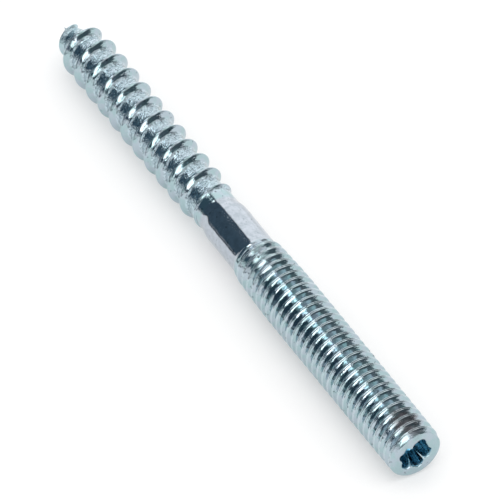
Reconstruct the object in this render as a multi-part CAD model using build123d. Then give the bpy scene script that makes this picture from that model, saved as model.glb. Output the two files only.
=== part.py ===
from build123d import *
import os
from math import atan2, cos, hypot, pi, radians, sin, tan

# Hanger bolt: a wood thread with a gimlet point at -X, a machine thread and a six-lobe socket at +X.
# It lies along X on the floor, with the origin under its middle. All sizes are in millimetres.

# Lengths, in order from the point to the driven end
wood_thread_length = 30.3
neck_length = 1.1
shoulder_length = 1.6
shank_length = 5.3
machine_thread_length = 31.7

# Diameters
wood_core_diameter = 4.1
wood_crest_diameter = 5.54
neck_diameter = 4.54
shank_diameter = 5.0
machine_thread_diameter = 6.0

# Wood thread: one right-hand ridge that grows out of the point and fades out over the neck
wood_pitch = 2.36
wood_crest_land = 0.37
wood_flank_angle = 28.0
wood_thread_phase = 281.0  # where the ridge starts round the bolt, in degrees from +Y towards +Z
wood_thread_start = 0.35
wood_thread_run_out = 1.0  # how far the ridge goes on over the neck
core_point_length = 5.4
crest_point_length = 5.2
crest_fullness = 2.2  # how soon the crests reach their full radius, where 1 makes a straight cone
core_rise_length = 3.0
rise_turns = 0.25
fade_turns = 1.8
ridge_foot_depth = 0.16  # how far the ridge's foot lies inside the core
ridge_end_height = 0.10  # of the ridge over its foot where it starts and ends, still inside the core
least_foot_radius = 0.02
sections_per_turn = 12

# Machine thread: a plain cylinder at its major diameter, with the rolled run-in and the end's chamfer
run_in_diameter = 5.54
run_in_length = 1.2
run_in_taper_length = 5.4
end_face_diameter = 5.4
end_chamfer_length = 0.3

# Six-lobe socket
socket_diameter = 3.35
socket_lobe_height = 0.475
socket_lobe_radius = 0.27
socket_depth = 1.9
socket_cone_angle = 20.0
socket_phase = 48.5  # where one lobe points, in degrees from +Y towards +Z
socket_lobes = 6

# Stations from the point
neck_station = wood_thread_length
shoulder_station = neck_station + neck_length
shank_station = shoulder_station + shoulder_length
machine_station = shank_station + shank_length
overall_length = machine_station + machine_thread_length

core_radius = wood_core_diameter / 2
crest_radius = wood_crest_diameter / 2
neck_radius = neck_diameter / 2
shank_radius = shank_diameter / 2
machine_radius = machine_thread_diameter / 2


def clamped(share):
    return min(max(share, 0.0), 1.0)


def smooth_step(share):
    """A rise from 0 to 1 that is level at both ends."""
    return clamped(share) ** 2 * (3 - 2 * clamped(share))


def core_radius_at(station):
    """Radius under the wood thread: a cone at the point, a cylinder, then a taper up to the neck."""
    point = clamped(station / core_point_length)
    rise = clamped((station - neck_station + core_rise_length) / core_rise_length)
    return core_radius * point + (neck_radius - core_radius) * rise


def wood_outline():
    """The core of the wood thread, the neck and the two arcs of the shoulder up to the shank."""
    rise_station = neck_station - core_rise_length
    corner_stations = [0, core_point_length, rise_station, neck_station, shoulder_station]
    core = Polyline([(station, core_radius_at(station)) for station in corner_stations])
    middle = (shoulder_station + shoulder_length / 2, (neck_radius + shank_radius) / 2)
    hollow = TangentArc(core @ 1, middle, tangent=(1, 0))
    round_edge = TangentArc(hollow @ 1, (shank_station, shank_radius), tangent=hollow % 1)
    return core, hollow, round_edge


def machine_outline():
    """The shank, the run-in, the full thread's cylinder and the end chamfer."""
    run_in_end = machine_station + run_in_length
    return Polyline(
        (shank_station, shank_radius),
        (machine_station, shank_radius),
        (run_in_end, run_in_diameter / 2),
        (run_in_end + run_in_taper_length, machine_radius),
        (overall_length - end_chamfer_length, machine_radius),
        (overall_length, end_face_diameter / 2),
    )


def blank():
    """The bolt with no ridge and no socket, turned about its axis."""
    machine = machine_outline()
    closing = Polyline(machine @ 1, (overall_length, 0), (0, 0))
    return revolve(make_face(Curve() + [*wood_outline(), machine, closing]), Axis.X)


def ridge_foot_at(station):
    """Radius of the ridge's foot, inside the core."""
    return max(core_radius_at(station) - ridge_foot_depth, least_foot_radius)


def ridge_crest_at(turn, turns):
    """Crest radius of the ridge: full along the bolt, inside the core at its two ends."""
    station = wood_thread_start + wood_pitch * turn
    low = ridge_foot_at(station) + ridge_end_height
    point = 1 - (1 - clamped(station / crest_point_length)) ** crest_fullness
    full = max(crest_radius * point, low)
    fade = sin(pi / 2 * clamped((turns - turn) / fade_turns))
    return low + (full - low) * smooth_step(turn / rise_turns) * fade


def ridge_section(turn, turns):
    """Section of the ridge in the half-plane that the given turn has reached."""
    station = wood_thread_start + wood_pitch * turn
    angle = radians(wood_thread_phase) + 2 * pi * turn
    crest = ridge_crest_at(turn, turns)
    foot = ridge_foot_at(station)
    full_depth = crest_radius - core_radius
    half_land = wood_crest_land / 2 * min(1.0, (crest - foot) / full_depth)
    half_foot = half_land + (crest - foot) * tan(radians(wood_flank_angle))
    corners = [(-half_foot, foot), (-half_land, crest), (half_land, crest), (half_foot, foot)]
    return Wire.make_polygon(
        [Vector(station + x, radius * cos(angle), radius * sin(angle)) for x, radius in corners]
    )


def wood_ridge():
    """The helical ridge, lofted one turn at a time."""
    turns = (wood_thread_length + wood_thread_run_out - wood_thread_start) / wood_pitch
    steps = round(turns * sections_per_turn)
    sections = [ridge_section(step * turns / steps, turns) for step in range(steps + 1)]
    starts = range(0, steps, sections_per_turn)
    return [Solid.make_loft(sections[start : start + sections_per_turn + 1]) for start in starts]


def socket_outline():
    """Convex lobes and concave waists in turn, each arc tangent to the next.

    The two arcs touch from outside, so their centres are as far apart as their radii added up,
    which gives the waist arc's radius.
    """
    point = socket_diameter / 2
    waist = point - socket_lobe_height
    half_step = pi / socket_lobes
    lobe_centre = point - socket_lobe_radius
    gap = waist - lobe_centre * cos(half_step) - socket_lobe_radius
    reach = socket_lobe_radius**2 - lobe_centre**2 - waist**2 + 2 * lobe_centre * waist * cos(half_step)
    waist_arc = reach / (2 * gap)
    share = socket_lobe_radius / (socket_lobe_radius + waist_arc)
    tangent_x = lobe_centre + share * ((waist + waist_arc) * cos(half_step) - lobe_centre)
    tangent_y = share * (waist + waist_arc) * sin(half_step)
    tangent = hypot(tangent_x, tangent_y)
    turn = atan2(tangent_y, tangent_x)

    def at(radius, angle):
        return radius * cos(angle), radius * sin(angle)

    arcs = []
    for lobe in range(socket_lobes):
        angle = radians(socket_phase) + 2 * half_step * lobe
        lobe_end = at(tangent, angle + turn)
        next_start = at(tangent, angle + 2 * half_step - turn)
        arcs.append(ThreePointArc(at(tangent, angle - turn), at(point, angle), lobe_end))
        arcs.append(ThreePointArc(lobe_end, at(waist, angle + half_step), next_start))
    return make_face(Curve() + arcs)


def socket():
    """The space of the socket: a six-lobe prism with a shallow cone at its bottom."""
    mouth = Plane.YZ.offset(overall_length)
    waist = socket_diameter / 2 - socket_lobe_height
    cone_depth = waist * tan(radians(socket_cone_angle))
    prism = extrude(mouth * socket_outline(), -socket_depth)
    bottom = mouth.offset(-socket_depth - cone_depth / 2) * Cone(0, waist, cone_depth)
    return prism + bottom


def hanger_bolt():
    bolt = blank() + wood_ridge() - socket()
    return Pos(-overall_length / 2, 0, machine_radius) * bolt


os.makedirs("parts", exist_ok=True)
bolt = hanger_bolt()
bolt.label = "hanger_bolt"
export_step(bolt, "parts/hanger_bolt.step")
print("hanger_bolt", round(bolt.volume, 2), "mm3", bolt.bounding_box())
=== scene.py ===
import math
from types import SimpleNamespace
import bpy
import numpy as np
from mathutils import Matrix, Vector, noise


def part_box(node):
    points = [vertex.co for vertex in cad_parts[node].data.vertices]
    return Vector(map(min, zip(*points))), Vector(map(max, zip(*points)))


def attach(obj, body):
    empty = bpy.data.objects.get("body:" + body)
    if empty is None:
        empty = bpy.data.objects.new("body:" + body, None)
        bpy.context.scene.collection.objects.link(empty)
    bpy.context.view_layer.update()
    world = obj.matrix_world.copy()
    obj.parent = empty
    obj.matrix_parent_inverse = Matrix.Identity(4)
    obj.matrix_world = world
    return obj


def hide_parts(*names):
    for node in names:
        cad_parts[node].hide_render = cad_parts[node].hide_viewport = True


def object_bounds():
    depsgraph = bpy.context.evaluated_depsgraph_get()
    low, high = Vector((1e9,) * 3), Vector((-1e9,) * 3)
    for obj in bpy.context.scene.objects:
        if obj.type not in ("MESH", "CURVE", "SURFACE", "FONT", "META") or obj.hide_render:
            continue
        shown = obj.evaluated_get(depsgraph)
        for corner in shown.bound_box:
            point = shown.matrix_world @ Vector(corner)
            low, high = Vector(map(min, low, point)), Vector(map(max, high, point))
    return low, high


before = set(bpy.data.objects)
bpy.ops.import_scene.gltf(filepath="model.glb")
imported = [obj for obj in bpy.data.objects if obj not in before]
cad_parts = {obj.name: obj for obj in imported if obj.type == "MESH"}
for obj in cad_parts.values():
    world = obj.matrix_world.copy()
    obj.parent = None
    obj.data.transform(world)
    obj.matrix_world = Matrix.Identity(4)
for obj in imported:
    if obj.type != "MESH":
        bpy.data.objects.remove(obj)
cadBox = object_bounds()

mm = 0.001
lowCorner, highCorner = (Vector(corner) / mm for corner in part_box("hanger_bolt"))
boltLength = highCorner.x - lowCorner.x
axisHeight = (lowCorner.z + highCorner.z) / 2
print("bolt length", round(boltLength, 2), "mm, axis", round(axisHeight, 2), "mm up")

# All the shape work is in millimetres. A station counts along the bolt from its wood point, and an angle runs
# round it from +Y towards +Z.


def softStep(share):
    share = np.clip(share, 0, 1)
    return share * share * (3 - 2 * share)


def threadForm(form, offset):
    places, heights = zip(*form)
    return np.interp(np.abs(offset), places, heights)


# The wood thread: a pointed core, and one ridge that winds round it

wood = {
    "start": 0.35,  # where the rows of points that follow the ridge start and end
    "end": 31.6,
    "pitch": 2.36,
    "phase": math.radians(281),
    "coreRadius": 2.05,
    "corePoint": 5.4,  # how long the core's pointed part is
    "coreFullness": 2.0,  # 1 would make the point a straight cone, and more makes it rounder
    "noseStart": 0.3,
    "noseEnd": 0.8,
    "spikeRadius": 0.07,
    "spikeLength": 0.3,
    "neckRadius": 2.27,
    "neckStart": 30.3,
    "riseLength": 3.0,  # the core widens to the neck over this
    "ridgeEnd": 31.3,
    "crestRadius": 2.77,
    "crestPoint": 5.2,
    "crestFullness": 2.2,
    "growTurns": 0.25,
    "fadeTurns": 1.8,
    "thinnest": 0.25,  # a low ridge is narrow too, down to this share of its full width
    # distance from the crest's middle, and the share of the ridge's full height there
    "form": [
        (0, 1.0), (0.05, 0.995), (0.09, 0.975), (0.13, 0.925), (0.18, 0.85), (0.24, 0.725), (0.31, 0.565),
        (0.38, 0.405), (0.46, 0.235), (0.53, 0.12), (0.62, 0.045), (0.72, 0.0),
    ],
    "rootRows": 8,
    "pointRings": (0.06, 0.14, 0.24),
    # the point leans to one side: how far, over what length, and which way in y and z
    "leanShift": 0.15,
    "leanLength": 5.0,
    "leanWay": (-0.9, -0.45),
}


def coreRadius(station):
    point = 1 - (1 - np.clip(station / wood["corePoint"], 0, 1)) ** wood["coreFullness"]
    nose = softStep((station - wood["noseStart"]) / (wood["noseEnd"] - wood["noseStart"]))
    spike = wood["spikeRadius"] / wood["coreRadius"] * np.clip(station / wood["spikeLength"], 0, 1)
    rise = np.clip((station - wood["neckStart"] + wood["riseLength"]) / wood["riseLength"], 0, 1)
    widening = (wood["neckRadius"] - wood["coreRadius"]) * rise
    return wood["coreRadius"] * np.maximum(point * nose, spike) + widening


def woodRadius(station, angle):
    turnShare = (angle - wood["phase"]) / (2 * math.pi)
    turn = np.round((station - wood["start"]) / wood["pitch"] - turnShare) + turnShare
    crestStation = wood["start"] + wood["pitch"] * turn
    pointShare = np.clip(crestStation / wood["crestPoint"], 0, 1)
    crest = wood["crestRadius"] * (1 - (1 - pointShare) ** wood["crestFullness"])
    height = np.clip(crest - coreRadius(crestStation), 0, None)
    lastTurn = (wood["ridgeEnd"] - wood["start"]) / wood["pitch"]
    fade = np.sin(math.pi / 2 * np.clip((lastTurn - turn) / wood["fadeTurns"], 0, 1))
    height = height * softStep(turn / wood["growTurns"]) * fade
    width = np.clip(height / (wood["crestRadius"] - wood["coreRadius"]), wood["thinnest"], 1)
    return coreRadius(station) + height * threadForm(wood["form"], (station - crestStation) / width)


# The plain shank, and the shoulder that leads up to it from the neck

shank = {
    "shoulderStart": 31.4,
    "shoulderEnd": 33.0,
    "radius": 2.5,
    "ringSpacing": 0.2,
    # the shank has no dents: the length over which they fade out from the shoulder's start, and the length
    # over which they come back, up to a station
    "dentsFadeOut": 0.8,
    "dentsFadeIn": 0.5,
    "dentsBackAt": 38.6,
}


def shankRadius(station):
    shoulderLength = shank["shoulderEnd"] - shank["shoulderStart"]
    shoulder = softStep((station - shank["shoulderStart"]) / shoulderLength)
    return wood["neckRadius"] + (shank["radius"] - wood["neckRadius"]) * shoulder


def dentShare(station):
    fadedOut = softStep((station - shank["shoulderStart"]) / shank["dentsFadeOut"])
    notBack = softStep((shank["dentsBackAt"] - station) / shank["dentsFadeIn"])
    return 1 - fadedOut * notBack


# The machine thread, from its run-in at the shank to the rounded edge of the end face

machine = {
    "start": 38.3,
    "end": 69.6,
    "pitch": 1.0,
    "phase": math.radians(60),
    # station, and the crest's and the root's radius there
    "crest": [
        (38.3, 2.5), (38.9, 2.68), (39.4, 2.79), (41.6, 2.88), (43.2, 2.95), (45.2, 3.0), (50, 3.0),
        (66, 2.955), (69.7, 2.92),
    ],
    "root": [(38.3, 2.5), (38.9, 2.47), (41.6, 2.43), (43.2, 2.41), (45.2, 2.385), (66, 2.385), (69.7, 2.43)],
    # as for the wood thread, but with the seam that rolling leaves in the crest's middle
    "form": [
        (0, 0.87), (0.03, 0.90), (0.05, 0.98), (0.07, 1.0), (0.115, 0.985), (0.145, 0.915),
        (0.30, 0.478), (0.445, 0.07), (0.475, 0.015), (0.5, 0.0),
    ],
    "rootRows": 0,
    "endRadius": 2.94,
    "faceRadius": 2.66,
    "edgeLength": 0.42,
    "edgeSlope": 0.2,  # 0 would round the edge until it is square to the axis
    "edgeRings": 7,
    "leastHeight": 0.1,  # what relief is measured against where the run-in has hardly any height
}


def machineLimits(station):
    crest, root = (np.interp(station, *zip(*machine[line])) for line in ("crest", "root"))
    return crest, root


def machineRadius(station, angle):
    turnShare = (angle - machine["phase"]) / (2 * math.pi)
    place = (station - machine["start"]) / machine["pitch"] - turnShare
    offset = (place - np.round(place)) * machine["pitch"]
    crest, root = machineLimits(station)
    return root + (crest - root) * threadForm(machine["form"], offset)


def edgeRadius(station):
    # how far out the rounded edge lets the bolt go: without a limit before the edge starts
    share = np.clip((station - boltLength) / machine["edgeLength"] + 1, 0, 1)
    slope = machine["edgeSlope"]
    arc = (1 - np.sqrt(1 - (1 - slope**2) * share**2)) / (1 - slope)
    drop = (machine["endRadius"] - machine["faceRadius"]) * arc
    return np.where(share > 0, machine["endRadius"] - drop, np.inf)


# The whole bolt, with the unevenness that rolling leaves

bolt = {
    "columns": 96,  # points round the bolt
    "radiusLimit": (highCorner.z - lowCorner.z) / 2,  # the frame's own radius, which no point stands out from
    # how high the unevenness is, and how long its waves are across and along the turns
    "waves": {"height": 0.012, "across": 0.9, "along": 2.2, "seed": 3.0},
    "dents": {"height": 0.006, "across": 0.35, "along": 0.9, "seed": 9.0},
    "wavesGrow": 3,  # the waves grow from nothing over this length of the point
    "rowGap": 0.4,  # the room kept beside a square ring, as a share of the thread's closest rows
    "sharpAngle": math.radians(50),
}


def unevenness(station, angle, kind):
    # smooth noise whose waves follow the turns
    beforeShank = station < wood["end"]
    pitch = np.where(beforeShank, wood["pitch"], np.where(station > machine["start"], machine["pitch"], 0))
    fromTop = np.remainder(angle + math.pi / 2, 2 * math.pi) - math.pi
    level = (station - pitch * fromTop / (2 * math.pi)) / kind["across"]
    lap = fromTop * shank["radius"] / kind["along"]
    heights = [noise.noise(Vector((u, v, kind["seed"]))) for u, v in zip(level, lap)]
    return kind["height"] * np.array(heights)


def boltRadius(station, angle):
    pastWood = np.where(station < machine["start"], shankRadius(station), machineRadius(station, angle))
    radius = np.where(station < wood["end"], woodRadius(station, angle), pastWood)
    radius = radius + unevenness(station, angle, bolt["waves"]) * np.clip(station / bolt["wavesGrow"], 0, 1)
    radius = radius + unevenness(station, angle, bolt["dents"]) * dentShare(station)
    return np.minimum(np.minimum(radius, edgeRadius(station)), bolt["radiusLimit"])


# The skin is a list of (station, angle, radius) points and the faces between them. A point without a radius
# gets it from boltRadius.

points = []
faces = []
columns = bolt["columns"]
angles = [2 * math.pi * column / columns for column in range(columns)]


def addRing(station, radii=None):
    first = len(points)
    for column, angle in enumerate(angles):
        radius = radii[column] if radii is not None else None
        points.append((station, angle, radius))
    return list(range(first, first + columns))


def joinRings(ringA, ringB):
    for column in range(columns):
        after = (column + 1) % columns
        faces.append((ringA[column], ringA[after], ringB[after], ringB[column]))


def plainBand(ring, stations):
    for station in stations:
        nextRing = addRing(station)
        joinRings(ring, nextRing)
        ring = nextRing
    return ring


def threadRows(thread):
    # where the rows of one turn lie, from the middle of its crest to the next one's
    places = [place for place, height in thread["form"]]
    half = places[-1]
    root = np.linspace(half, thread["pitch"] - half, thread["rootRows"] + 1)
    after = [thread["pitch"] - place for place in reversed(places[:-1])]
    return np.array([*places[:-1], *root, *after[:-1]])


def placeRows(thread, rows):
    # each column's points on the thread, under numbers that count the rows on from turn to turn
    start, end, pitch = thread["start"], thread["end"], thread["pitch"]
    margin = min(rows[1:] - rows[:-1]) * bolt["rowGap"]
    placed = []
    for angle in angles:
        turnShare = (angle - thread["phase"]) / (2 * math.pi)
        firstTurn = math.floor(-turnShare) - 1
        lastTurn = math.ceil((end - start) / pitch - turnShare) + 1
        found = {}
        for turn in range(firstTurn, lastTurn + 1):
            for row, offset in enumerate(rows):
                station = start + pitch * (turn + turnShare) + offset
                if start + margin < station < end - margin:
                    found[turn * len(rows) + row] = len(points)
                    points.append((station, angle, None))
        placed.append(found)
    return placed


def threadBand(ring, thread):
    # rows of points that follow the thread's helix, cut off square at a ring at each end
    rows = threadRows(thread)
    endRing = addRing(thread["end"])
    placed = placeRows(thread, rows)
    for column in range(columns):
        after = (column + 1) % columns
        here = placed[column]
        there = placed[after]
        if after == 0:  # the last column meets the first one turn on
            there = {key - len(rows): value for key, value in there.items()}
        shared = sorted(set(here) & set(there))
        low, high = shared[0], shared[-1]
        for key in range(low, high):
            faces.append((here[key], there[key], there[key + 1], here[key + 1]))
        # what is left beside each square ring is one face with many corners
        belowThere = [there[key] for key in sorted(there) if key < low]
        belowHere = [here[key] for key in sorted(here, reverse=True) if key < low]
        faces.append((ring[column], ring[after], *belowThere, there[low], here[low], *belowHere))
        aboveThere = [there[key] for key in sorted(there) if key > high]
        aboveHere = [here[key] for key in sorted(here, reverse=True) if key > high]
        faces.append((here[high], there[high], *aboveThere, endRing[after], endRing[column], *aboveHere))
    return endRing


def buildSkin():
    firstRing, *nextRings = wood["pointRings"]
    pole = len(points)
    points.append((0.0, 0.0, 0.0))
    ring = addRing(firstRing)
    for column in range(columns):
        faces.append((pole, ring[(column + 1) % columns], ring[column]))
    ring = plainBand(ring, [*nextRings, wood["start"]])
    ring = threadBand(ring, wood)
    spacing = shank["ringSpacing"]
    ring = plainBand(ring, np.arange(wood["end"] + spacing, machine["start"], spacing))
    ring = plainBand(ring, [machine["start"]])
    ring = threadBand(ring, machine)
    return plainBand(ring, np.linspace(machine["end"], boltLength, machine["edgeRings"] + 1)[1:])


endRing = buildSkin()
print("threads and shank laid out:", len(points), "points")


# The six-lobe socket in the end face, with a mouth that the punch tore a little

socket = {
    # how far each lobe and each waist of the mouth reaches, in degrees round from +Y
    "mouth": [
        (7, 1.45), (37, 1.44), (65, 1.81), (95, 1.35), (117, 0.95), (132, 1.60), (151, 1.52), (169, 1.88),
        (197, 1.62), (222, 2.0), (236, 1.93), (246, 1.55), (266, 1.76), (277, 1.96), (290, 1.86), (309, 1.30),
        (331, 1.76), (350, 1.80),
    ],
    "tornDepth": 2.0,
    "bevel": 0.07,
    # the regular lobes that the walls change to as they go down
    "lobes": 6,
    "lobeRadius": 1.72,
    "waistRadius": 1.22,
    "phase": math.radians(48.5),
    "cornerPower": 0.6,  # under 1 makes the lobes broad and the waists sharp
    # ridges that the punch pushed up on the walls: where, and how wide, in degrees, and how far they come in
    # for each millimetre of depth
    "ridges": [(309, 9, 0.6), (246, 8, 0.55)],
    "ridgeDepth": 1.1,
    "ridgeSteepness": 1.6,
    "faceRings": (0.4, 0.8),  # shares of the way from the end face's edge to the mouth
    "wallRings": (0.3, 0.7, 1.1, 1.6),
    "depth": 2.1,
    "coneDepth": 0.4,
}


def regularRadius(angle):
    wave = (1 + math.cos(socket["lobes"] * (angle - socket["phase"]))) / 2
    reach = (socket["lobeRadius"] - socket["waistRadius"]) * wave ** socket["cornerPower"]
    return socket["waistRadius"] + reach


def mouthRadius(angle):
    degrees = math.degrees(angle)
    reaches = socket["mouth"]
    reaches = [(reaches[-1][0] - 360, reaches[-1][1]), *reaches, (reaches[0][0] + 360, reaches[0][1])]
    for (low, lowReach), (high, highReach) in zip(reaches, reaches[1:]):
        if low <= degrees <= high:
            share = (1 - math.cos(math.pi * (degrees - low) / (high - low))) / 2
            if highReach > lowReach:
                return lowReach + (highReach - lowReach) * share ** socket["cornerPower"]
            return highReach + (lowReach - highReach) * (1 - share) ** socket["cornerPower"]


def ridgeReach(angle, depth):
    reach = 0
    for middle, halfWidth, slope in socket["ridges"]:
        nearness = max(1 - abs(math.degrees(angle) - middle) / halfWidth, 0)
        share = min(socket["ridgeSteepness"] * nearness, 1)
        reach = max(reach, share * slope * min(depth, socket["ridgeDepth"]))
    return reach


def buildSocket(ring):
    mouth = [mouthRadius(angle) for angle in angles]
    regular = [regularRadius(angle) for angle in angles]
    face = machine["faceRadius"]
    for share in socket["faceRings"]:
        nextRing = addRing(boltLength, [face + (reach + socket["bevel"] - face) * share for reach in mouth])
        joinRings(ring, nextRing)
        ring = nextRing
    for depth in (0, socket["bevel"], *socket["wallRings"], socket["depth"]):
        torn = max(1 - depth / socket["tornDepth"], 0)
        widening = max(socket["bevel"] - depth, 0)
        radii = []
        for angle, tornRadius, cleanRadius in zip(angles, mouth, regular):
            radius = tornRadius * torn + cleanRadius * (1 - torn) + widening
            radii.append(radius - ridgeReach(angle, depth))
        nextRing = addRing(boltLength - depth, radii)
        joinRings(ring, nextRing)
        ring = nextRing
    bottom = len(points)
    points.append((boltLength - socket["depth"] - socket["coneDepth"], 0.0, 0.0))
    for column in range(columns):
        faces.append((ring[column], ring[(column + 1) % columns], bottom))


buildSocket(endRing)
print("socket laid out:", len(points), "points,", len(faces), "faces")


def threadShare(station, radius):
    # 0 in a thread's root, 1 on its crest, and half on the shank
    woodShare = (radius - coreRadius(station)) / (wood["crestRadius"] - wood["coreRadius"])
    crest, root = machineLimits(station)
    machineShare = (radius - root) / np.maximum(crest - root, machine["leastHeight"])
    pastWood = np.where(station > machine["start"], machineShare, 0.5)
    return np.clip(np.where(station < wood["end"], woodShare, pastWood), 0, 1)


def skinMesh():
    station = np.array([point[0] for point in points])
    angle = np.array([point[1] for point in points])
    given = np.array([np.nan if point[2] is None else point[2] for point in points])
    radius = np.where(np.isnan(given), boltRadius(station, angle), given)
    lean = wood["leanShift"] * (1 - np.clip(station / wood["leanLength"], 0, 1)) ** 2
    x = station - boltLength / 2
    y = radius * np.cos(angle) + lean * wood["leanWay"][0]
    z = radius * np.sin(angle) + axisHeight + lean * wood["leanWay"][1]
    mesh = bpy.data.meshes.new("hangerBolt")
    mesh.from_pydata((np.stack([x, y, z], 1) * mm).tolist(), [], faces)
    relief = mesh.attributes.new("relief", "FLOAT", "POINT")
    relief.data.foreach_set("value", threadShare(station, radius).astype(np.float32))
    mesh.validate()
    mesh.shade_smooth()
    mesh.set_sharp_from_angle(angle=bolt["sharpAngle"])
    return mesh


skin = bpy.data.objects.new("bolt_skin", skinMesh())
bpy.context.scene.collection.objects.link(skin)
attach(skin, "root")
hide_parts("hanger_bolt")
print("skin built")


class Graph:
    # adds shader nodes and links them up, each method giving the new node or its output
    def __init__(self, material):
        material.use_nodes = True
        self.tree = material.node_tree

    def feed(self, node, values):
        for key, value in values.items():
            if isinstance(value, bpy.types.NodeSocket):
                self.tree.links.new(value, node.inputs[key])
            else:
                node.inputs[key].default_value = value

    def node(self, kind, values, **settings):
        node = self.tree.nodes.new(kind)
        for name, value in settings.items():
            setattr(node, name, value)
        self.feed(node, values)
        return node

    def math(self, operation, *values):
        return self.node("ShaderNodeMath", dict(enumerate(values)), operation=operation).outputs[0]

    def plus(self, first, *others):
        for other in others:
            first = self.math("ADD", first, other)
        return first

    def times(self, first, *others):
        for other in others:
            first = self.math("MULTIPLY", first, other)
        return first

    def scaledPlus(self, value, factor, added):
        return self.math("MULTIPLY_ADD", value, factor, added)

    def ramp(self, value, none, full):
        values = {"Value": value, "From Min": none, "From Max": full}
        return self.node("ShaderNodeMapRange", values, interpolation_type="SMOOTHSTEP").outputs[0]

    def noise(self, place, scale, detail, roughness):
        values = {"Vector": place, "Scale": scale, "Detail": detail, "Roughness": roughness}
        return self.node("ShaderNodeTexNoise", values).outputs["Fac"]

    def blend(self, share, first, second):
        return self.node("ShaderNodeMix", {0: share, 6: first, 7: second}, data_type="RGBA").outputs[2]

    def vector(self, x, y, z):
        return self.node("ShaderNodeCombineXYZ", {0: x, 1: y, 2: z}).outputs[0]


# The bright zinc plating, which is the bolt's only finish

zinc = {
    "teal": (0.385, 0.52, 0.55, 1),
    "lilac": (0.44, 0.525, 0.585, 1),
    "shankGrey": (0.41, 0.46, 0.51, 1),
    "shankLight": (0.52, 0.57, 0.63, 1),
    # painted highlight: the pale colour of the machine thread's crest lines
    "paintedCrestHighlight": (0.62, 0.71, 0.75, 1),
    # painted glints: the pale and the dark flecks in the wood thread's roots
    "glintLight": (0.60, 0.73, 0.80, 1),
    "glintDark": (0.29, 0.38, 0.43, 1),
    "tip": (0.52, 0.70, 0.76, 1),
    "speck": (0.06, 0.08, 0.10, 1),
    "smudge": (0.22, 0.205, 0.215, 1),
    # painted shade: the deeper blue of the socket's walls, for the light that bounces about inside the recess
    "paintedSocketShade": (0.30, 0.51, 0.61, 1),
    # painted highlight: the pale colour of the ridges on the socket's walls
    "paintedRidgeHighlight": (0.75, 0.90, 0.96, 1),
    # how much of each colour shows where it is at its fullest
    "shares": {"shankLight": 0.8, "paintedCrestHighlight": 0.6, "root": 0.75, "tip": 0.6, "speck": 0.8},
    # the range over which each finish goes from none to full, in stations or in radii
    "places": {
        "wood": (wood["end"], wood["end"] - 0.6),
        "machine": (machine["start"], machine["start"] + 0.6),
        "root": (30.6, 29.6),
        "tip": (3.2, 1.2),
        "face": (boltLength - 0.55, boltLength - 0.3),
        "drivenEnd": (66.0, 66.5),
        "belowFace": (boltLength - 0.02, boltLength - 0.09),
        "inSocket": (2.3, 2.2),
        "onRidge": (1.45, 1.25),
        "aboveBottom": (boltLength - 1.7, boltLength - 1.4),
    },
    # the same in shares of a thread's height
    "heights": {"crest": (0.90, 0.99), "root": (0.35, 0.06), "smudgedCrest": (0.80, 0.98)},
    # noises: scale, detail, roughness, and the levels at which a pattern made from one is absent and full
    "patches": ((1.1, 3.0, 0.5), (0.40, 0.60)),
    "mottle": ((1.6, 4.0, 0.7), (0.35, 0.65)),
    # painted glints: the pattern of the flecks in the wood thread's roots
    "paintedGlints": ((7.0, 2.0, 0.6), (0.38, 0.56)),
    "specks": ((2.6, 1.0, 0.5), (0.70, 0.76)),
    "smudgeGaps": ((4.0, 3.0, 0.7), (0.2, 0.55)),
    "smudgeEdge": (1.6, 3.0, 0.5),
    "cloud": (1.7, 3.0, 0.5),
    "wrinkles": (5.0, 2.5, 0.65),
    "streaks": (6.0, 2.0, 0.5),
    "grain": (4.5, 2.0, 0.5),
    # how far a noise is drawn out along the turns (a smaller number makes longer marks) and outwards
    "streakStretch": 0.22,
    "streakRise": 0.5,
    "wrinkleStretch": 0.45,
    # the dark smudge by the driven end: its middle along the bolt and round it from the top, its half sizes,
    # the reach at which it is absent and full, and how strong it is in the roots and on the crests
    "smudgeStation": 67.8,
    "smudgeFromTop": 0.04,
    "smudgeHalfLength": 2.4,
    "smudgeHalfTurn": 0.62,
    "smudgeReach": (1.6, 0.75),
    "smudgeInRoot": 0.88,
    "smudgeOnCrest": 0.58,
    "roughness": (0.06, 0.14),  # where the plating is clear and where it is cloudy
    "addedRoughness": {"smudge": 0.15, "face": 0.15, "tip": 0.2},
    # heights of the bumps, in millimetres
    "wrinkleHeight": 0.09,
    "streakHeight": 0.024,
    "grainHeight": 0.008,
}


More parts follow.
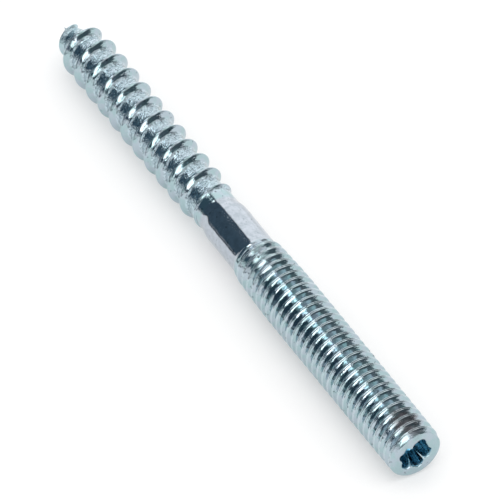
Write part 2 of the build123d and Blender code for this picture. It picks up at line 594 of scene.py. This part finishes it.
def boltPlaces(graph):
    # where a point of the surface lies, in millimetres: along the bolt, out from its axis, and round it from
    # the top. Then how far it is on each part of the bolt, and where it lies among marks that follow the
    # turns.
    at = SimpleNamespace()
    place = graph.node("ShaderNodeTexCoord", {}).outputs["Object"]
    at.place = graph.node("ShaderNodeVectorMath", {0: place, "Scale": 1 / mm}, operation="SCALE").outputs[0]
    x, y, z = graph.node("ShaderNodeSeparateXYZ", {0: at.place}).outputs
    height = graph.math("SUBTRACT", z, axisHeight)
    at.station = graph.plus(x, boltLength / 2)
    at.radius = graph.math("SQRT", graph.plus(graph.math("POWER", y, 2.0), graph.math("POWER", height, 2.0)))
    at.fromTop = graph.math("ARCTAN2", y, height)
    at.relief = graph.node("ShaderNodeAttribute", {}, attribute_name="relief").outputs["Fac"]

    places, heights = zinc["places"], zinc["heights"]
    inWood = graph.ramp(at.station, *places["wood"])
    at.inMachine = graph.ramp(at.station, *places["machine"])
    at.onThread = graph.plus(inWood, at.inMachine)
    at.inRoot = graph.times(graph.ramp(at.station, *places["root"]), graph.ramp(at.relief, *heights["root"]))
    at.onTip = graph.ramp(at.station, *places["tip"])

    # the pitch is 0 on the shank, where the marks run straight round
    pitch = graph.plus(graph.times(inWood, wood["pitch"]), graph.times(at.inMachine, machine["pitch"]))
    level = graph.scaledPlus(pitch, graph.math("DIVIDE", at.fromTop, 2 * math.pi), at.station)
    streakLap = graph.times(at.fromTop, shank["radius"] * zinc["streakStretch"])
    wrinkleLap = graph.times(at.fromTop, shank["radius"] * zinc["wrinkleStretch"])
    at.streaks = graph.vector(level, streakLap, graph.times(at.radius, zinc["streakRise"]))
    at.wrinkles = graph.vector(level, wrinkleLap, 0.0)
    return at


def zincPattern(graph, name, place):
    # a noise that is cut to a pattern: 0 under its first level and 1 over its second
    texture, levels = zinc[name]
    return graph.ramp(graph.noise(place, *texture), *levels)


def smudgeShare(graph, at):
    # the smudge follows the streaks, and is rubbed off the crests a little
    reach = []
    for value, middle, half in (
        (at.station, zinc["smudgeStation"], zinc["smudgeHalfLength"]),
        (at.fromTop, zinc["smudgeFromTop"], zinc["smudgeHalfTurn"]),
    ):
        share = graph.math("DIVIDE", graph.math("SUBTRACT", value, middle), half)
        reach.append(graph.math("POWER", graph.math("ABSOLUTE", share), 2.0))
    reach = graph.plus(*reach, graph.noise(at.streaks, *zinc["smudgeEdge"]))
    onCrest = graph.ramp(at.relief, *zinc["heights"]["smudgedCrest"])
    strength = graph.scaledPlus(onCrest, zinc["smudgeOnCrest"] - zinc["smudgeInRoot"], zinc["smudgeInRoot"])
    strength = graph.times(strength, zincPattern(graph, "smudgeGaps", at.streaks))
    return graph.times(graph.ramp(reach, *zinc["smudgeReach"]), strength)


def socketShare(graph, at):
    # how far a point is on the socket's walls, and on the ridges there
    places = zinc["places"]
    inside = graph.times(
        graph.ramp(at.station, *places["belowFace"]),
        graph.ramp(at.radius, *places["inSocket"]),
        graph.ramp(at.station, *places["drivenEnd"]),
    )
    onRidge = graph.ramp(at.radius, *places["onRidge"])
    return inside, graph.times(onRidge, graph.ramp(at.station, *places["aboveBottom"]))


def zincColour(graph, at):
    shares = zinc["shares"]

    # blue-green and lilac patches on the threads, and a plainer grey on the shank
    threadTint = graph.blend(zincPattern(graph, "patches", at.place), zinc["teal"], zinc["lilac"])
    mottle = graph.times(zincPattern(graph, "mottle", at.place), shares["shankLight"])
    shankTint = graph.blend(mottle, zinc["shankGrey"], zinc["shankLight"])
    colour = graph.blend(at.onThread, shankTint, threadTint)

    # painted highlight: the machine thread's crests are painted paler, as bright lines of reflected light
    # along them, which leaves the roots between them darker
    paintedHighlightLine = graph.times(at.inMachine, graph.ramp(at.relief, *zinc["heights"]["crest"]))
    colour = graph.blend(graph.times(paintedHighlightLine, shares["paintedCrestHighlight"]), colour, zinc["paintedCrestHighlight"])

    # painted glints: the wood thread's roots get pale and dark flecks in their colour, for the sparkle of
    # their wrinkled plating, and its point is paler
    glintTint = graph.blend(zincPattern(graph, "paintedGlints", at.wrinkles), zinc["glintDark"], zinc["glintLight"])
    colour = graph.blend(graph.times(at.inRoot, shares["root"]), colour, glintTint)
    colour = graph.blend(graph.times(at.onTip, shares["tip"]), colour, zinc["tip"])

    # small dark specks, and the smudge by the driven end
    specks = graph.times(zincPattern(graph, "specks", at.place), shares["speck"])
    colour = graph.blend(specks, colour, zinc["speck"])
    colour = graph.blend(at.smudge, colour, zinc["smudge"])

    # painted shade and highlight: the socket's walls get a deeper blue for the shade and bounced light inside
    # it, and its ridges a pale colour for bright slivers of reflection
    inside, onRidge = socketShare(graph, at)
    return graph.blend(inside, colour, graph.blend(onRidge, zinc["paintedSocketShade"], zinc["paintedRidgeHighlight"]))


def zincRoughness(graph, at):
    # cloudy, and duller on the smudge, the end face and the point
    smooth, rough = zinc["roughness"]
    added = zinc["addedRoughness"]
    onFace = graph.ramp(at.station, *zinc["places"]["face"])
    roughness = graph.scaledPlus(graph.noise(at.place, *zinc["cloud"]), rough - smooth, smooth)
    roughness = graph.scaledPlus(at.smudge, added["smudge"], roughness)
    roughness = graph.scaledPlus(onFace, added["face"], roughness)
    return graph.scaledPlus(at.onTip, added["tip"], roughness)


def zincBumps(graph, at):
    # wrinkles in the wood thread's roots, rolling marks along both threads, and a fine grain everywhere
    wrinkleHeight = graph.times(at.inRoot, zinc["wrinkleHeight"])
    streakHeight = graph.times(at.onThread, zinc["streakHeight"])
    wrinkles = graph.times(graph.noise(at.wrinkles, *zinc["wrinkles"]), wrinkleHeight)
    streaks = graph.times(graph.noise(at.streaks, *zinc["streaks"]), streakHeight)
    grain = graph.times(graph.noise(at.place, *zinc["grain"]), zinc["grainHeight"])
    height = graph.plus(wrinkles, streaks, grain)
    return graph.node("ShaderNodeBump", {"Height": height, "Distance": mm, "Strength": 1.0}).outputs[0]


def zincMaterial():
    material = bpy.data.materials.new("zincPlating")
    graph = Graph(material)
    at = boltPlaces(graph)
    at.smudge = smudgeShare(graph, at)
    looks = {
        "Metallic": 1.0,
        "Base Color": zincColour(graph, at),
        "Roughness": zincRoughness(graph, at),
        "Normal": zincBumps(graph, at),
    }
    graph.feed(material.node_tree.nodes["Principled BSDF"], looks)
    return material


skin.data.materials.append(zincMaterial())
print("zinc plating put on")


# White paper under the bolt, which keeps a light shadow

floor = {
    "half": 2.0,  # metres
    "paper": (0.70, 0.70, 0.70, 1),
    "roughness": 0.9,
    "glow": (1, 1, 1, 1),
    "glowStrength": 0.30,  # the part of its white that is its own, for the camera and for reflections
}


def floorMaterial():
    material = bpy.data.materials.new("floorWhite")
    graph = Graph(material)
    path = graph.node("ShaderNodeLightPath", {}).outputs
    seen = graph.math("MAXIMUM", path["Is Camera Ray"], path["Is Glossy Ray"])
    seen = graph.math("MAXIMUM", seen, path["Is Transmission Ray"])
    looks = {
        "Base Color": floor["paper"],
        "Roughness": floor["roughness"],
        "Emission Color": floor["glow"],
        "Emission Strength": graph.times(seen, floor["glowStrength"]),
    }
    graph.feed(material.node_tree.nodes["Principled BSDF"], looks)
    return material


def addFloor():
    half = floor["half"]
    low = cadBox[0].z
    corners = [(-half, -half, low), (half, -half, low), (half, half, low), (-half, half, low)]
    mesh = bpy.data.meshes.new("studioFloor")
    mesh.from_pydata(corners, [], [(0, 1, 2, 3)])
    paper = bpy.data.objects.new("studioFloor", mesh)
    bpy.context.scene.collection.objects.link(paper)
    mesh.materials.append(floorMaterial())


addFloor()
print("floor laid")


# Plain soft light: an even white sky, and one broad lamp overhead

light = {
    "sky": (1, 1, 1, 1),
    "skyStrength": 1.0,
    "lampSize": 0.8,  # metres
    "lampHeight": 1.0,
    "lampEnergy": 1.2,  # watts
}


def addWorld():
    world = bpy.data.worlds.new("studioWorld")
    bpy.context.scene.world = world
    world.use_nodes = True
    sky = world.node_tree.nodes["Background"].inputs
    sky["Color"].default_value = light["sky"]
    sky["Strength"].default_value = light["skyStrength"]


def addLamp():
    lamp = bpy.data.lights.new("overheadLamp", "AREA")
    lamp.shape = "SQUARE"
    lamp.size = light["lampSize"]
    lamp.energy = light["lampEnergy"]
    holder = bpy.data.objects.new("overheadLamp", lamp)
    holder.location = (0, 0, light["lampHeight"])
    holder.visible_glossy = False
    bpy.context.scene.collection.objects.link(holder)


addWorld()
addLamp()
print("sky and lamp set")


# Cards round the bolt that show only in its reflections, as the walls and screens of a small studio would

studio = {
    "reach": 0.5,  # metres from the bolt to the first card
    "gap": 0.005,  # how much nearer each next card hangs
    "facet": 4,  # degrees
    "tints": {"white": (1, 1, 1), "cold": (0.6, 1.0, 1.35), "smoky": (0.8, 1.05, 1.2)},
    # name, azimuths from +X towards +Y, elevations, brightness and tint: a later card hangs in front of an
    # earlier one
    "cards": [
        ("surround", (0, 360), (-2, 89.9), 0.6, "white"),
        ("ceiling", (0, 360), (80, 89.9), 0.9, "white"),
        ("rightWall", (52, 114), (-3, 14), 0.75, "white"),
        ("rightWallUpper", (9, 66), (12, 35), 0.12, "smoky"),
        ("rightWallTop", (9, 66), (35, 46), 0.9, "white"),
        ("rightGlow", (54, 82), (42, 62), 1.3, "white"),
        ("rearWall", (104, 171.5), (-3, 60), 1.3, "white"),
        ("rightPost", (82, 120), (14, 46), 0.3, "white"),
        ("rightPostUpper", (82, 106), (46, 80), 1.2, "white"),
        ("rearWallEnd", (171, 182), (-3, 12), 1.3, "white"),
        ("topPanel", (186, 224), (57.5, 80), 4.2, "white"),
        ("tableEdge", (240, 346), (-3, 14), 0.85, "white"),
        ("frontPanelUpper", (328, 352), (26, 50), 1.4, "white"),
        ("frontPanel", (345, 370), (12, 36), 2.5, "white"),
        ("frontLamp", (348, 374), (-3, 13), 4.0, "white"),
        ("rightScreen", (14, 58), (1, 16), 0.11, "smoky"),
        ("leftScreenEdge", (276, 300), (12, 58), 1.3, "white"),
        ("leftScreenRear", (171.5, 228), (-3, 57.5), 0.1, "cold"),
        ("leftScreen", (228, 264), (2, 62), 0.1, "cold"),
        ("leftScreenFront", (264, 276), (12, 62), 0.1, "cold"),
        ("frontScreen", (300, 334), (12, 44), 0.1, "cold"),
        ("frontSide", (334, 348), (3, 18), 0.08, "cold"),
    ],
    # a dark mat on the table past the bolt's left side: its near edge, where it starts and ends along the
    # bolt, and how far it lies above the floor
    "mat": {"near": -0.029, "from": -0.4, "to": 0.06, "lift": 0.0002, "brightness": 0.06, "tint": "cold"},
}


def shaded(brightness, tint):
    return tuple(brightness * share for share in studio["tints"][tint])


def glowMaterial(name, colour):
    material = bpy.data.materials.new(name)
    graph = Graph(material)
    material.node_tree.nodes.clear()
    glow = graph.node("ShaderNodeEmission", {"Color": (*colour, 1)}).outputs[0]
    graph.node("ShaderNodeOutputMaterial", {"Surface": glow})
    return material


def hangCard(name, corners, patches, colour):
    mesh = bpy.data.meshes.new(name)
    mesh.from_pydata(corners, [], patches)
    card = bpy.data.objects.new(name, mesh)
    bpy.context.scene.collection.objects.link(card)
    mesh.materials.append(glowMaterial(name, colour))
    card.visible_camera = False
    card.visible_diffuse = False
    card.visible_shadow = False
    card.visible_transmission = False


def anglesBetween(low, high):
    # evenly spaced, in radians, with at least two facets between them
    count = max(2, round((high - low) / studio["facet"]))
    return [math.radians(low + (high - low) * index / count) for index in range(count + 1)]


def addCard(name, azimuths, elevations, colour, reach):
    across = anglesBetween(*azimuths)
    corners = []
    for elevation in anglesBetween(*elevations):
        flat = reach * math.cos(elevation)
        up = reach * math.sin(elevation)
        corners += [(flat * math.cos(azimuth), flat * math.sin(azimuth), up) for azimuth in across]
    patches = []
    width = len(across)
    for first in range(len(corners) - width):
        if first % width < width - 1:
            patches.append((first, first + 1, first + width + 1, first + width))
    hangCard(name, corners, patches, colour)


def addMat():
    mat = studio["mat"]
    low = cadBox[0].z + mat["lift"]
    far = -studio["reach"]
    farSide = [(mat["from"], far, low), (mat["to"], far, low)]
    nearSide = [(mat["to"], mat["near"], low), (mat["from"], mat["near"], low)]
    hangCard("leftMat", farSide + nearSide, [(0, 1, 2, 3)], shaded(mat["brightness"], mat["tint"]))


def addStudio():
    reach = studio["reach"]
    for name, azimuths, elevations, brightness, tint in studio["cards"]:
        addCard(name, azimuths, elevations, shaded(brightness, tint), reach)
        reach -= studio["gap"]
    addMat()


addStudio()
print("studio cards hung:", len(studio["cards"]))


# A long lens, so that the bolt's two ends come out at nearly one scale

view = {
    "azimuth": math.radians(59.7),
    "elevation": math.radians(45.4),
    "distance": 1.4,  # metres
    "aim": (2.26, 0.08, 0.04),  # millimetres from the middle of the bolt's axis
    "perMillimetre": 9.96,  # how large a millimetre comes out where the whole image is imageWidth wide
    "imageWidth": 500,
    "sensorWidth": 36,
    "clip": (0.1, 10),
}


def addCamera():
    azimuth, elevation = view["azimuth"], view["elevation"]
    flat = math.cos(elevation)
    away = Vector((math.sin(azimuth) * flat, -math.cos(azimuth) * flat, math.sin(elevation)))
    camera = bpy.data.cameras.new("camera")
    camera.sensor_width = view["sensorWidth"]
    camera.lens = view["perMillimetre"] * view["distance"] / mm * camera.sensor_width / view["imageWidth"]
    camera.clip_start, camera.clip_end = view["clip"]
    holder = bpy.data.objects.new("camera", camera)
    aim = (Vector(view["aim"]) + Vector((0, 0, axisHeight))) * mm
    holder.location = aim + away * view["distance"]
    holder.rotation_mode = "QUATERNION"
    holder.rotation_quaternion = away.to_track_quat("Z", "Y")
    bpy.context.scene.collection.objects.link(holder)
    bpy.context.scene.camera = holder


addCamera()
bpy.context.scene.view_settings.view_transform = "Standard"
print("camera set")
